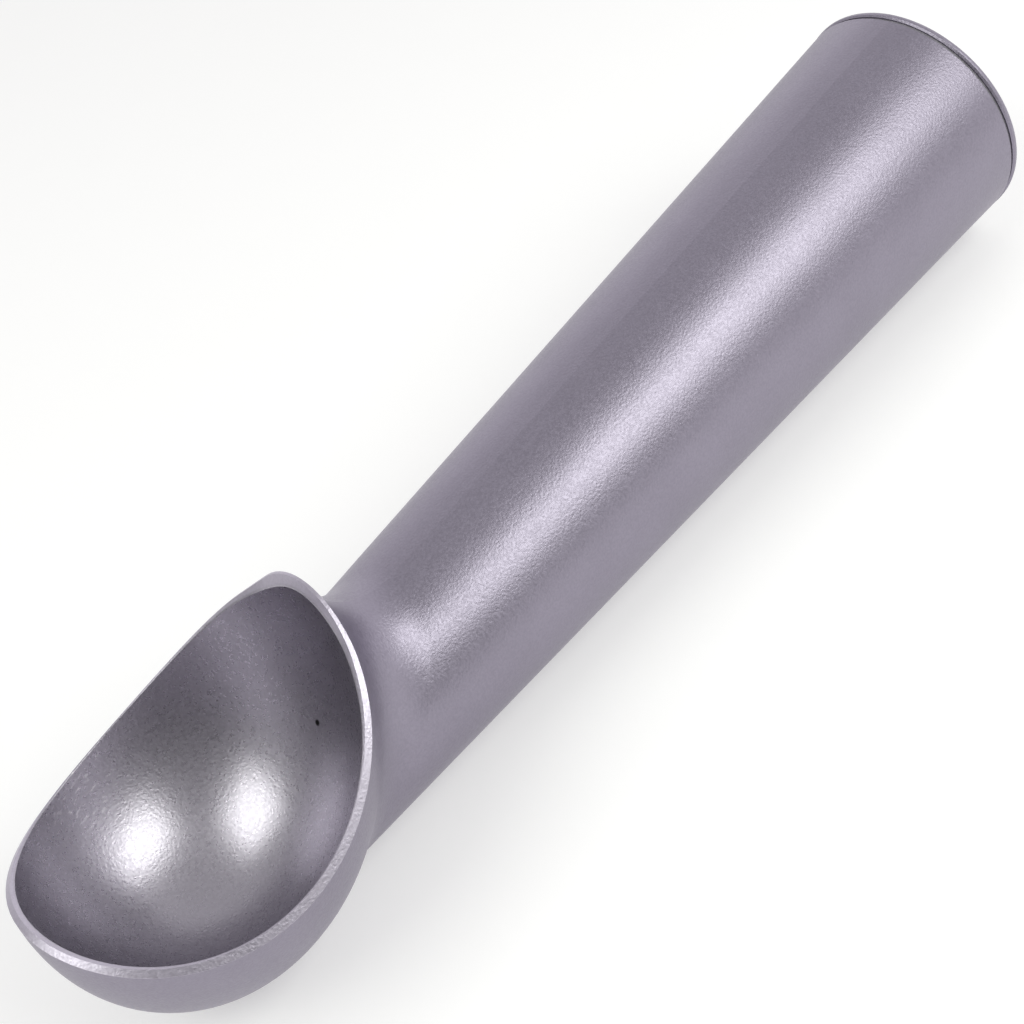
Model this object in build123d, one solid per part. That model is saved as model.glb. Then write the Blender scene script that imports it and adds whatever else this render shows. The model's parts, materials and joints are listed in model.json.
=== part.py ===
from build123d import *
import math
import os

os.makedirs("parts", exist_ok=True)

# Handle sizes in millimetres
BUTT_RADIUS = 19.0
HANDLE_WALL = 3.6
CHAMBER_END_WALL = 5.0
CHAMBER_END_ROUND = 6.0

# Bowl sizes in millimetres: the reach runs along the handle axis from the butt, and the walls are those that
# an even hollow would leave
BOWL_REACH = 153.2
BOWL_DROP = 1.55
BOWL_HALF_LENGTH = 24.6
BOWL_HALF_WIDTH = 22.0
BOWL_HALF_DEPTH = 31.0
END_WALL = 1.35
SIDE_WALL = 1.0
FLOOR_WALL = 1.5
RIM_CUT_RADIUS = 36.1
RIM_CUT_LEAD = 3.95
RIM_HEIGHT = 23.5
CREST_SETBACK = 21.35
CREST_ROUND = 11.0
NECK_BLEND = 11.0

# Butt end sizes in millimetres
CAP_THICKNESS = 1.3
CAP_EDGE_ROUND = 0.8
GASKET_THICKNESS = 0.4
GASKET_SETBACK = 0.4
MOUTH_WALL = 3.2
SPIGOT_LENGTH = 6.0
SPIGOT_WALL = 2.0
STOPPER_THICKNESS = 6.0
STOPPER_NOSE_LENGTH = 4.0
STOPPER_NOSE_ROUND = 1.5
EDGE_BREAK = 0.25
BOND_GAP = 0.05

# Angles in degrees
HANDLE_TAPER = 2.47
BOWL_LEAN = 24.9
CREST_LEAN = 20.0

# Edges of the rim as shares of the side wall, the share of the rim's cutter in the hollow's shape, and the
# liquid's level as a share of the chamber's radius
RIM_BEVEL_SHARE = 0.8
RIM_BREAK_SHARE = 0.1
FLOOR_LIFT_SHARE = 0.3
LIQUID_LEVEL_SHARE = 0.75

# Every cut runs this far past the metal that it cuts
OVERRUN = 5.0

# The bisection for the rest pose halves its range this often
REST_STEPS = 50


def handle_radius(x):
    return BUTT_RADIUS + x * math.tan(math.radians(HANDLE_TAPER))


def chamber_radius(x):
    return handle_radius(x) - HANDLE_WALL


def turned(*points):
    """Solid turned about the handle axis from a closed outline of (x, radius) points."""
    return revolve(Plane.XZ * make_face(Polyline(*points, close=True)), Axis.X)


def circles_at(solid, x):
    """Round edges of the solid in the plane across the handle axis at x, the widest last."""
    edges = solid.edges().filter_by(GeomType.CIRCLE).filter_by_position(Axis.X, x, x)
    return edges.sort_by(SortBy.RADIUS)


def half_extent(half_across, half_along, lean):
    """Half of an ellipse's extent in a direction that makes the angle lean with its second axis."""
    return math.hypot(half_across * math.sin(lean), half_along * math.cos(lean))


def bowl_egg(half_length, half_width, half_depth, along=0, up=0):
    """Leaning ellipsoid, set off from the bowl's centre, with its poles and seam where the mouth is cut."""
    ball = Rot(0, -90, 0) * Rot(90, 0, 0) * Sphere(half_width)
    egg = scale(ball, by=(half_length / half_width, 1, half_depth / half_width))
    return Pos(bowl_x, 0, bowl_z) * Rot(0, BOWL_LEAN, 0) * Pos(along, 0, up) * egg


def bowl_clearance(tilt):
    """Height of the bowl's lowest point over the cap's, with the handle rising to the butt by the tilt."""
    bowl_centre = bowl_x * math.sin(tilt) + bowl_z * math.cos(tilt)
    bowl_bottom = bowl_centre - half_extent(BOWL_HALF_LENGTH, BOWL_HALF_DEPTH, bowl_lean - tilt)
    round_centre = -CAP_EDGE_ROUND * math.sin(tilt) - (BUTT_RADIUS - CAP_EDGE_ROUND) * math.cos(tilt)
    cap_bottom = round_centre - CAP_EDGE_ROUND
    return bowl_bottom - cap_bottom


# Stations of the working frame: X runs along the handle axis to the cap's face at zero, Z out of the mouth
bowl_x = -BOWL_REACH
bowl_lean = math.radians(BOWL_LEAN)
bowl_bottom_z = -handle_radius(bowl_x) - BOWL_DROP
bowl_half_height = half_extent(BOWL_HALF_LENGTH, BOWL_HALF_DEPTH, bowl_lean)
bowl_z = bowl_bottom_z + bowl_half_height
bowl_skew = (BOWL_HALF_DEPTH**2 - BOWL_HALF_LENGTH**2) * math.sin(2 * bowl_lean) / 2
bowl_bottom_x = bowl_x - bowl_skew / bowl_half_height
rim_cut_x = bowl_x - RIM_CUT_LEAD
rim_cut_z = bowl_bottom_z + RIM_HEIGHT + RIM_CUT_RADIUS

# Hollow of the bowl: an even hollow meets the rim's cutter along the rim's inner edge, and the sum of their
# equations, the cutter's taken by its share, is a shallower egg through that same edge
pull = FLOOR_LIFT_SHARE / RIM_CUT_RADIUS**2
length_pull = 1 / (BOWL_HALF_LENGTH - END_WALL) ** 2 + pull
depth_pull = 1 / (BOWL_HALF_DEPTH - FLOOR_WALL) ** 2 + pull
cut_along = -RIM_CUT_LEAD * math.cos(bowl_lean) - (rim_cut_z - bowl_z) * math.sin(bowl_lean)
cut_up = -RIM_CUT_LEAD * math.sin(bowl_lean) + (rim_cut_z - bowl_z) * math.cos(bowl_lean)
hollow_along = cut_along * pull / length_pull
hollow_up = cut_up * pull / depth_pull
cut_square = cut_along * (cut_along - hollow_along) + cut_up * (cut_up - hollow_up)
swell = math.sqrt(1 + FLOOR_LIFT_SHARE - pull * cut_square)
hollow_half_length = swell / math.sqrt(length_pull)
hollow_half_width = swell * (BOWL_HALF_WIDTH - SIDE_WALL)
hollow_half_depth = swell / math.sqrt(depth_pull)
hollow_x = bowl_x + hollow_along * math.cos(bowl_lean) + hollow_up * math.sin(bowl_lean)
hollow_end_x = hollow_x + half_extent(hollow_half_depth, hollow_half_length, bowl_lean)

# Stations of the chamber and the butt
chamber_end_x = hollow_end_x + CHAMBER_END_WALL
cap_inner_x = -CAP_THICKNESS
handle_end_x = cap_inner_x - GASKET_THICKNESS
spigot_end_x = handle_end_x - SPIGOT_LENGTH
shoulder_x = spigot_end_x - STOPPER_THICKNESS
nose_end_x = shoulder_x - STOPPER_NOSE_LENGTH
chamber_middle_x = (shoulder_x + chamber_end_x) / 2

# Radii at the butt
mouth_radius = handle_radius(handle_end_x) - MOUTH_WALL
spigot_radius = mouth_radius - BOND_GAP
spigot_bore_radius = spigot_radius - SPIGOT_WALL
gasket_radius = handle_radius(handle_end_x) - GASKET_SETBACK

# Blank of the casting: the handle's cone runs on to over the bowl's lowest point, and the neck is blended
handle = turned(
    (handle_end_x, 0),
    (handle_end_x, handle_radius(handle_end_x)),
    (bowl_bottom_x, handle_radius(bowl_bottom_x)),
    (bowl_bottom_x, 0),
)
bowl = bowl_egg(BOWL_HALF_LENGTH, BOWL_HALF_WIDTH, BOWL_HALF_DEPTH)
blank = handle + bowl
blank = fillet(new_edges(handle, bowl, combined=blank), NECK_BLEND)

# Mouth of the bowl: a round cutter from side to side leaves the saddle of the rim, and its flat, leaning
# back leaves the crest at the neck. The rim is bevelled outside
cutter = Cylinder(RIM_CUT_RADIUS, 2 * (BOWL_HALF_WIDTH + OVERRUN))
cutter = Pos(rim_cut_x, 0, rim_cut_z) * Rot(90, 0, 0) * cutter
behind_crest = Box(*[2 * (RIM_CUT_RADIUS + OVERRUN)] * 3, align=(Align.MIN, Align.CENTER, Align.CENTER))
cutter -= Pos(bowl_x + CREST_SETBACK, 0, bowl_z) * Rot(0, CREST_LEAN, 0) * behind_crest
cutter = fillet(cutter.edges().filter_by(Axis.Y).sort_by(Axis.Z)[0], CREST_ROUND)
topped = blank - cutter
topped = chamfer(new_edges(blank, cutter, combined=topped), SIDE_WALL * RIM_BEVEL_SHARE)

# Hollow of the bowl, with the sharp inner edge of the rim just broken
hollow = bowl_egg(hollow_half_length, hollow_half_width, hollow_half_depth, hollow_along, hollow_up)
scooped = topped - hollow
scooped = fillet(new_edges(topped, hollow, combined=scooped), SIDE_WALL * RIM_BREAK_SHARE)

# Chamber: the blind bore for the liquid, and at the butt the wider mouth for the stopper and the cap
chamber = turned(
    (shoulder_x, 0),
    (shoulder_x, chamber_radius(shoulder_x)),
    (chamber_end_x, chamber_radius(chamber_end_x)),
    (chamber_end_x, 0),
)
chamber = fillet(circles_at(chamber, chamber_end_x), CHAMBER_END_ROUND)
mouth_bore = turned(
    (shoulder_x, 0),
    (shoulder_x, mouth_radius),
    (handle_end_x + OVERRUN, mouth_radius),
    (handle_end_x + OVERRUN, 0),
)
scoop_body = scooped - chamber - mouth_bore
scoop_body = chamfer(circles_at(scoop_body, handle_end_x), EDGE_BREAK)

# Stopper: a disc against the shoulder, with a nose pressed into the chamber
chamber_stopper = turned(
    (spigot_end_x, 0),
    (spigot_end_x, mouth_radius),
    (shoulder_x, mouth_radius),
    (shoulder_x, chamber_radius(shoulder_x)),
    (nose_end_x, chamber_radius(nose_end_x)),
    (nose_end_x, 0),
)
chamber_stopper = fillet(circles_at(chamber_stopper, nose_end_x), STOPPER_NOSE_ROUND)

# Gasket: a flat ring around the spigot, set back from the handle's surface
cap_gasket = turned(
    (handle_end_x, spigot_radius),
    (handle_end_x, gasket_radius),
    (cap_inner_x, gasket_radius),
    (cap_inner_x, spigot_radius),
)

# Cap: a round-edged disc over the butt, with a hollow spigot that holds the stopper in
end_cap = turned(
    (0, 0),
    (0, BUTT_RADIUS),
    (cap_inner_x, BUTT_RADIUS),
    (cap_inner_x, spigot_radius),
    (spigot_end_x, spigot_radius),
    (spigot_end_x, spigot_bore_radius),
    (cap_inner_x, spigot_bore_radius),
    (cap_inner_x, 0),
)
end_cap = fillet(circles_at(end_cap, 0), CAP_EDGE_ROUND)
cap_breaks = circles_at(end_cap, cap_inner_x)[-1:] + circles_at(end_cap, spigot_end_x)[-1:]
end_cap = chamfer(cap_breaks, EDGE_BREAK)

# Rest pose: the scoop lies mouth up on the cap's edge and the bottom of the bowl, or flat along the handle
rest_low, rest_high = 0, math.radians(HANDLE_TAPER)
for _ in range(REST_STEPS):
    rest_middle = (rest_low + rest_high) / 2
    if bowl_clearance(rest_middle) > 0:
        rest_low = rest_middle
    else:
        rest_high = rest_middle
rest_tilt = math.degrees(rest_low)

# Liquid: fills the chamber up to a level surface, with room above it to expand
air_height = chamber_radius(shoulder_x) + OVERRUN
air = Box(2 * BOWL_REACH, 2 * air_height, air_height, align=(Align.CENTER, Align.CENTER, Align.MIN))
air = Pos(0, 0, LIQUID_LEVEL_SHARE * chamber_radius(chamber_middle_x)) * air
air = Pos(chamber_middle_x, 0, 0) * Rot(0, rest_tilt, 0) * air
heat_fluid = chamber - chamber_stopper - air

# The pieces are laid in the rest pose, with the middle of the bottom of their box at the origin
pieces = {
    "scoop_body": scoop_body,
    "heat_fluid": heat_fluid,
    "chamber_stopper": chamber_stopper,
    "cap_gasket": cap_gasket,
    "end_cap": end_cap,
}
laid = {name: Rot(0, -rest_tilt, 0) * piece for name, piece in pieces.items()}
box = Compound(list(laid.values())).bounding_box()
for name, piece in laid.items():
    export_step(Pos(-box.center().X, 0, -box.min.Z) * piece, f"parts/{name}.step")
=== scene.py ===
import json
from math import atan2, pi, radians

import bpy
from mathutils import Matrix, Vector

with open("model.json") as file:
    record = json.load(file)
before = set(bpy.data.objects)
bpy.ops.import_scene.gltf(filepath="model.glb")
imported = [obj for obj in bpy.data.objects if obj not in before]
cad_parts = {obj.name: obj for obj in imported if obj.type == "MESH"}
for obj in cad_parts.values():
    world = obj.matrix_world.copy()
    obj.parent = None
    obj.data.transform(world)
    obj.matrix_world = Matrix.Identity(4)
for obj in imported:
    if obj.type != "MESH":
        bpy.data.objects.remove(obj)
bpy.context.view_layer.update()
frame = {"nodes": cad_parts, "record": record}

# An ice cream scoop with a liquid-filled handle, cast in one piece with its bowl, and a capped butt.
# Lengths are in millimetres, and MM turns them into the scene's metres. Angles are in degrees.
MM = 0.001

# Places on the scoop, as reach from the butt face along the handle and rise from its axis.
# The scuffs are off to the side as well.
HOLLOW_PLACE = (153.04, 20.59)
HOLLOW_LEAN = 24.9
HOLLOW_HALF_SIZES = (23.26, 22.28, 28.56)
RIM_CUT_PLACE = (157.15, 45.66)
RIM_CUT_RADIUS = 36.1
CREST_PLACE = (131.85, 16.02)
CREST_LEAN = 20.0
PIT_PLACE = (135.6, 4.7)
SCUFF_PLACE = (161.0, 8.5)
SCUFF_OFFSET = 19.0

# Bounds of the zones of the bowl's surface: a zone is whole up to its first bound and gone from its second.
# The hollow's are shares of its half sizes, the rim's are depths below its face, and the others are radii.
HOLLOW_EDGE_SHARES = (1.0, 1.01)
RIM_BAND_DEPTHS = (0.75, 0.9)
PIT_SHADE_RADII = (0.25, 0.55)
SCUFF_RADII = (2.0, 8.0)

# Sizes of the patterns, how the scuffs are drawn out, and the grain's height and the hollow's share of it
GRAIN_SIZE = 0.36
FLAKE_SIZE = 0.26
CLOUD_SIZE = 9.0
SCUFF_SIZE = 0.4
SCUFF_STRETCH_SHARES = (0.3, 0.6, 1.0)
GRAIN_HEIGHT = 0.05
HOLLOW_GRAIN_SHARE = 0.65

# Detail of the noise, the range of it that counts, and the narrower range from bare to scuffed
FINE_DETAIL = 2.0
CLOUD_DETAIL = 3.0
NOISE_RANGE = (0.3, 0.7)
SCUFF_RANGE = (0.58, 0.68)

# Range of a share, range of the cosine between two directions, and the shares that leave out a place's Y
UNIT_RANGE = (0.0, 1.0)
FACING_RANGE = (-1.0, 1.0)
WITHOUT_Y_SHARES = (1.0, 0.0, 1.0)

# Roughness, lowest and highest, and how much smoother the hollow is
COAT_ROUGHNESS = (0.38, 0.48)
HOLLOW_POLISH = 0.11
RUBBER_ROUGHNESS = (0.6, 0.75)
LIQUID_ROUGHNESS = (0.02, 0.06)
FLOOR_ROUGHNESS = 0.9
LIQUID_REFRACTION = 1.38

# Colours, linear
COAT_COLOUR = (0.305, 0.280, 0.345)
HOLLOW_COLOUR = (0.42, 0.398, 0.450)
RIM_COLOUR = (0.49, 0.458, 0.535)
# Painted shade of the small pit in the hollow, which the mesh has no recess for
PIT_SHADE_COLOUR = (0.02, 0.02, 0.02)
SCUFF_COLOUR = (0.62, 0.60, 0.64)
RUBBER_COLOUR = (0.20, 0.19, 0.215)
STOPPER_COLOUR = (0.46, 0.44, 0.41)
LIQUID_COLOUR = (0.42, 0.66, 0.80)
FLOOR_COLOUR = (0.66, 0.66, 0.66)
WORLD_COLOUR = (1.0, 0.99, 1.0)
LAMP_COLOUR = (0.97, 1.0, 0.93)
GLOW_COLOUR = (1.0, 0.99, 1.0)

# Shares of a colour between which each pattern varies it
GRAIN_TONE_SHARES = (0.96, 1.04)
FLAKE_TONE_SHARES = (0.97, 1.03)
CLOUD_TONE_SHARES = (0.98, 1.02)
RUBBER_TONE_SHARES = (0.85, 1.15)
LIQUID_TONE_SHARES = (0.9, 1.1)
FLOOR_TONE_SHARES = (0.995, 1.005)

# Camera
AIM_POINT = (-6.33, 1.11, 19.62)
VIEW_DISTANCE = 246.3
VIEW_AZIMUTH = -32.81
VIEW_ELEVATION = 44.95
VIEW_ROLL = -21.18
FOCAL_LENGTH = 63.28
SENSOR_WIDTH = 36.0
NEAREST_VIEW = 1.0

# Floor, with the glow that lifts it to white, and surroundings, lit towards one azimuth and dark away from it
FLOOR_HALF_SIZE = 10000.0
FLOOR_GLOW = 0.37
LIT_AZIMUTH = 115.0
LIT_STRENGTH = 1.33
DARK_STRENGTH = 0.0
ZENITH_STRENGTH = 0.55

# Lamps, with their power in watts
KEY_LIGHT = {"power": 0.48, "azimuth": 26.0, "elevation": 46.0, "roll": -15.0,
             "distance": 320.0, "width": 290.0, "height": 155.0}
SIDE_LIGHT = {"power": 1.25, "azimuth": -102.0, "elevation": 51.0, "roll": 0.0,
              "distance": 650.0, "width": 400.0, "height": 330.0}

# Handle's own directions, from the butt's flat face
butt_face = frame["record"]["mounts"][0]
butt_centre = Vector(butt_face["pos_m"])
handle_axis = Vector(butt_face["axis"])
mouth_way = Vector((-handle_axis.z, 0, handle_axis.x))
rest_turn = atan2(-handle_axis.z, handle_axis.x)


def on_scoop(reach, rise):
    """The point that far from the butt face along the handle and that far from its axis towards the mouth."""
    return butt_centre - handle_axis * reach * MM + mouth_way * rise * MM


def turned_about(azimuth, elevation, roll=0):
    """The turn that makes a camera or lamp look at the origin from that azimuth, from -Y, and elevation."""
    azimuth, elevation, roll = radians(azimuth), radians(elevation), radians(roll)
    return (Matrix.Rotation(azimuth, 4, "Z") @ Matrix.Rotation(pi / 2 - elevation, 4, "X")
            @ Matrix.Rotation(roll, 4, "Z"))


class Nodes:
    """A node tree in the making. Most methods add one node and give its output."""

    def __init__(self, tree):
        self.tree = tree

    def add(self, kind, inputs=(), **settings):
        """A node with its settings, and its inputs, by name or number, set to values or linked to outputs."""
        node = self.tree.nodes.new(kind)
        for name, value in settings.items():
            setattr(node, name, value)
        self.set_inputs(node, inputs)
        return node

    def set_inputs(self, node, inputs):
        """Sets the node's inputs to values, or links them to outputs."""
        for key, value in dict(inputs).items():
            if isinstance(value, bpy.types.NodeSocket):
                self.tree.links.new(value, node.inputs[key])
            elif node.inputs[key].type == "RGBA":
                node.inputs[key].default_value = (*value, 1.0)
            else:
                node.inputs[key].default_value = value

    def math(self, operation, *values):
        """Result of the operation on one or two numbers."""
        return self.add("ShaderNodeMath", enumerate(values), operation=operation).outputs[0]

    def ramp(self, value, bounds, results=UNIT_RANGE):
        """Goes smoothly from the first result to the second as the value goes from bound to bound."""
        inputs = {"Value": value, "From Min": bounds[0], "From Max": bounds[1],
                  "To Min": results[0], "To Max": results[1]}
        return self.add("ShaderNodeMapRange", inputs, interpolation_type="SMOOTHSTEP").outputs[0]

    def within(self, value, bounds):
        """1 up to the first bound, and smoothly down to 0 at the second."""
        whole, gone = bounds
        return self.ramp(value, (gone, whole))

    def part(self, vector, axis):
        """One of the vector's three parts, by the axis' letter."""
        return self.add("ShaderNodeSeparateXYZ", {0: vector}).outputs[axis]


class Finish(Nodes):
    """A procedural material in the making."""

    def __init__(self, name):
        self.material = bpy.data.materials.new(name)
        self.material.use_nodes = True
        super().__init__(self.material.node_tree)
        self.place = self.add("ShaderNodeTexCoord").outputs["Object"]

    def mix(self, share, first, second):
        """Colour that goes from first to second with the share. The node takes colours at inputs 6 and 7."""
        return self.add("ShaderNodeMix", {0: share, 6: first, 7: second}, data_type="RGBA").outputs[2]

    def shade(self, colour, factor):
        """Colour times a number."""
        return self.add("ShaderNodeVectorMath", {0: colour, "Scale": factor}, operation="SCALE").outputs[0]

    def noise(self, size, detail=FINE_DETAIL, place=None):
        """Noise from 0 to 1, with features of that size."""
        inputs = {"Vector": place or self.place, "Scale": 1 / (size * MM), "Detail": detail}
        return self.add("ShaderNodeTexNoise", inputs).outputs["Fac"]

    def flakes(self, size):
        """One random number from 0 to 1 for each cell of that size."""
        inputs = {"Vector": self.place, "Scale": 1 / (size * MM)}
        cells = self.add("ShaderNodeTexVoronoi", inputs).outputs["Color"]
        return self.add("ShaderNodeSeparateColor", {0: cells}).outputs[0]

    def bump(self, height, relief):
        """Normal of a surface with that relief, in millimetres."""
        inputs = {"Strength": 1.0, "Distance": relief * MM, "Height": height}
        return self.add("ShaderNodeBump", inputs).outputs[0]

    def local_place(self, centre, lean=0.0, units=(1.0, 1.0, 1.0)):
        """Place measured from a centre along the handle's axes, leaning, in those units of millimetres."""
        inputs = {"Vector": self.place, "Location": centre, "Rotation": (0, radians(lean) + rest_turn, 0),
                  "Scale": [unit * MM for unit in units]}
        return self.add("ShaderNodeMapping", inputs, vector_type="TEXTURE").outputs[0]

    def scaled(self, place, shares):
        """Place with each axis scaled to its share. A pattern on it is drawn out where the share is low."""
        return self.add("ShaderNodeVectorMath", {0: place, 1: shares}, operation="MULTIPLY").outputs[0]

    def length(self, vector):
        """Length of a vector, in the units it is measured in."""
        return self.add("ShaderNodeVectorMath", {0: vector}, operation="LENGTH").outputs["Value"]

    def shine(self, **inputs):
        """Sets the shader's own inputs, named with _ for each space, and gives the finished material."""
        named = {name.replace("_", " "): value for name, value in inputs.items()}
        self.set_inputs(self.tree.nodes["Principled BSDF"], named)
        return self.material


def bowl_zones(finish):
    """How far each point lies in the hollow, on the rim's face, in a scuff and in the painted shade of the
    pit, from 0 to 1.
    """
    hollow_place = finish.local_place(on_scoop(*HOLLOW_PLACE), HOLLOW_LEAN, HOLLOW_HALF_SIZES)
    in_hollow = finish.within(finish.length(hollow_place), HOLLOW_EDGE_SHARES)

    from_cut = finish.scaled(finish.local_place(on_scoop(*RIM_CUT_PLACE)), WITHOUT_Y_SHARES)
    cut_depth = finish.math("SUBTRACT", finish.length(from_cut), RIM_CUT_RADIUS)
    crest_depth = finish.part(finish.local_place(on_scoop(*CREST_PLACE), CREST_LEAN), "X")
    rim_depth = finish.math("MAXIMUM", cut_depth, crest_depth)
    outside_hollow = finish.math("SUBTRACT", 1.0, in_hollow)
    on_rim = finish.math("MULTIPLY", finish.within(rim_depth, RIM_BAND_DEPTHS), outside_hollow)

    scuff_centre = on_scoop(*SCUFF_PLACE) + Vector((0, SCUFF_OFFSET * MM, 0))
    near_scuffs = finish.within(finish.length(finish.local_place(scuff_centre)), SCUFF_RADII)
    scratch_noise = finish.noise(SCUFF_SIZE, place=finish.scaled(finish.place, SCUFF_STRETCH_SHARES))
    scratches = finish.ramp(scratch_noise, SCUFF_RANGE)
    scuffed = finish.math("MULTIPLY", in_hollow, finish.math("MULTIPLY", near_scuffs, scratches))

    # Spot of painted shade where a small pit lies in the hollow
    pit_shade = finish.within(finish.length(finish.local_place(on_scoop(*PIT_PLACE))), PIT_SHADE_RADII)
    return in_hollow, on_rim, scuffed, pit_shade


def coated_metal(name, has_bowl):
    """Grainy violet-grey coat; on the piece with the bowl, paler in the hollow and palest on the rim, with a
    near-black spot of painted shade for a small pit in the hollow.
    """
    finish = Finish(name)
    grain = finish.noise(GRAIN_SIZE)
    flakes = finish.flakes(FLAKE_SIZE)
    clouds = finish.noise(CLOUD_SIZE, CLOUD_DETAIL)
    speckle = finish.math("MULTIPLY", finish.ramp(grain, NOISE_RANGE, GRAIN_TONE_SHARES),
                          finish.ramp(flakes, UNIT_RANGE, FLAKE_TONE_SHARES))
    tone = finish.math("MULTIPLY", speckle, finish.ramp(clouds, NOISE_RANGE, CLOUD_TONE_SHARES))
    colour = COAT_COLOUR
    roughness = finish.ramp(flakes, UNIT_RANGE, COAT_ROUGHNESS)
    relief = grain
    if has_bowl:
        in_hollow, on_rim, scuffed, pit_shade = bowl_zones(finish)
        colour = finish.mix(in_hollow, colour, HOLLOW_COLOUR)
        colour = finish.mix(on_rim, colour, RIM_COLOUR)
        colour = finish.mix(scuffed, colour, SCUFF_COLOUR)
        # Painted shade of the pit, near black
        colour = finish.mix(pit_shade, colour, PIT_SHADE_COLOUR)
        roughness = finish.math("SUBTRACT", roughness, finish.math("MULTIPLY", in_hollow, HOLLOW_POLISH))
        relief = finish.math("MULTIPLY", grain, finish.ramp(in_hollow, UNIT_RANGE, (1.0, HOLLOW_GRAIN_SHARE)))
    return finish.shine(Base_Color=finish.shade(colour, tone), Metallic=1.0,
                        Roughness=roughness, Normal=finish.bump(relief, GRAIN_HEIGHT))


def rubber(name, colour):
    """Matt moulded rubber."""
    finish = Finish(name)
    grain = finish.noise(GRAIN_SIZE)
    return finish.shine(Base_Color=finish.shade(colour, finish.ramp(grain, NOISE_RANGE, RUBBER_TONE_SHARES)),
                        Roughness=finish.ramp(grain, NOISE_RANGE, RUBBER_ROUGHNESS),
                        Normal=finish.bump(grain, GRAIN_HEIGHT))


def clear_liquid(name):
    """Clear, faintly tinted liquid with soft streaks."""
    finish = Finish(name)
    streaks = finish.noise(CLOUD_SIZE)
    tone = finish.ramp(streaks, NOISE_RANGE, LIQUID_TONE_SHARES)
    return finish.shine(Base_Color=finish.shade(LIQUID_COLOUR, tone),
                        Roughness=finish.ramp(streaks, NOISE_RANGE, LIQUID_ROUGHNESS),
                        Transmission_Weight=1.0, IOR=LIQUID_REFRACTION)


def white_floor(name):
    """Pale floor that keeps shadows and, seen directly or in a reflection, is lifted to white."""
    finish = Finish(name)
    tone = finish.ramp(finish.noise(CLOUD_SIZE), UNIT_RANGE, FLOOR_TONE_SHARES)
    rays = finish.add("ShaderNodeLightPath").outputs
    seen = finish.math("MAXIMUM", rays["Is Camera Ray"],
                       finish.math("MAXIMUM", rays["Is Glossy Ray"], rays["Is Transmission Ray"]))
    return finish.shine(Base_Color=finish.shade(FLOOR_COLOUR, tone), Roughness=FLOOR_ROUGHNESS,
                        Specular_IOR_Level=0.0, Emission_Color=GLOW_COLOUR,
                        Emission_Strength=finish.math("MULTIPLY", seen, FLOOR_GLOW))


def softbox(name, power, azimuth, elevation, roll, distance, width, height):
    """A rectangular lamp that faces the scoop from that direction."""
    lamp = bpy.data.lights.new(name, "AREA")
    lamp.shape = "RECTANGLE"
    lamp.size = width * MM
    lamp.size_y = height * MM
    lamp.energy = power
    lamp.color = LAMP_COLOUR
    box = bpy.data.objects.new(name, lamp)
    box.matrix_world = turned_about(azimuth, elevation, roll) @ Matrix.Translation((0, 0, distance * MM))
    bpy.context.scene.collection.objects.link(box)


# Finishes of the pieces
finishes = {
    "scoop_body": coated_metal("coated_casting", has_bowl=True),
    "end_cap": coated_metal("cap_metal", has_bowl=False),
    "cap_gasket": rubber("gasket_rubber", RUBBER_COLOUR),
    "chamber_stopper": rubber("stopper_rubber", STOPPER_COLOUR),
    "heat_fluid": clear_liquid("heat_liquid"),
}
for node, material in finishes.items():
    frame["nodes"][node].material_slots[0].material = material

# Floor under the scoop
half_size = FLOOR_HALF_SIZE * MM
floor_mesh = bpy.data.meshes.new("floor")
floor_mesh.from_pydata([(-half_size, -half_size, 0), (half_size, -half_size, 0),
                        (half_size, half_size, 0), (-half_size, half_size, 0)], [], [(0, 1, 2, 3)])
floor_mesh.materials.append(white_floor("floor_white"))
floor = bpy.data.objects.new("floor", floor_mesh)
bpy.context.scene.collection.objects.link(floor)

# Surroundings that go from dark on one side to lit on the other, and to a middle strength overhead
world = bpy.data.worlds.new("surroundings")
world.use_nodes = True
bpy.context.scene.world = world
sky = Nodes(world.node_tree)
direction = sky.add("ShaderNodeTexCoord").outputs["Generated"]
lit_way = turned_about(LIT_AZIMUTH, 0) @ Vector((0, 0, 1))
facing = sky.add("ShaderNodeVectorMath", {0: direction, 1: lit_way}, operation="DOT_PRODUCT").outputs["Value"]
around = sky.ramp(facing, FACING_RANGE, (DARK_STRENGTH, LIT_STRENGTH))
upwards = {"Value": sky.part(direction, "Z"), "To Min": around, "To Max": ZENITH_STRENGTH}
strength = sky.add("ShaderNodeMapRange", upwards).outputs[0]
sky.set_inputs(world.node_tree.nodes["Background"], {"Color": WORLD_COLOUR, "Strength": strength})

# Soft lamps
softbox("key_light", **KEY_LIGHT)
softbox("side_light", **SIDE_LIGHT)

# Camera at the photograph's viewing angle
lens = bpy.data.cameras.new("camera")
lens.lens = FOCAL_LENGTH
lens.sensor_width = SENSOR_WIDTH
lens.clip_start = NEAREST_VIEW * MM
camera = bpy.data.objects.new("camera", lens)
aim = Matrix.Translation(Vector(AIM_POINT) * MM)
camera.matrix_world = (aim @ turned_about(VIEW_AZIMUTH, VIEW_ELEVATION, VIEW_ROLL)
                       @ Matrix.Translation((0, 0, VIEW_DISTANCE * MM)))
bpy.context.scene.collection.objects.link(camera)
bpy.context.scene.camera = camera
bpy.context.scene.view_settings.view_transform = "Standard"
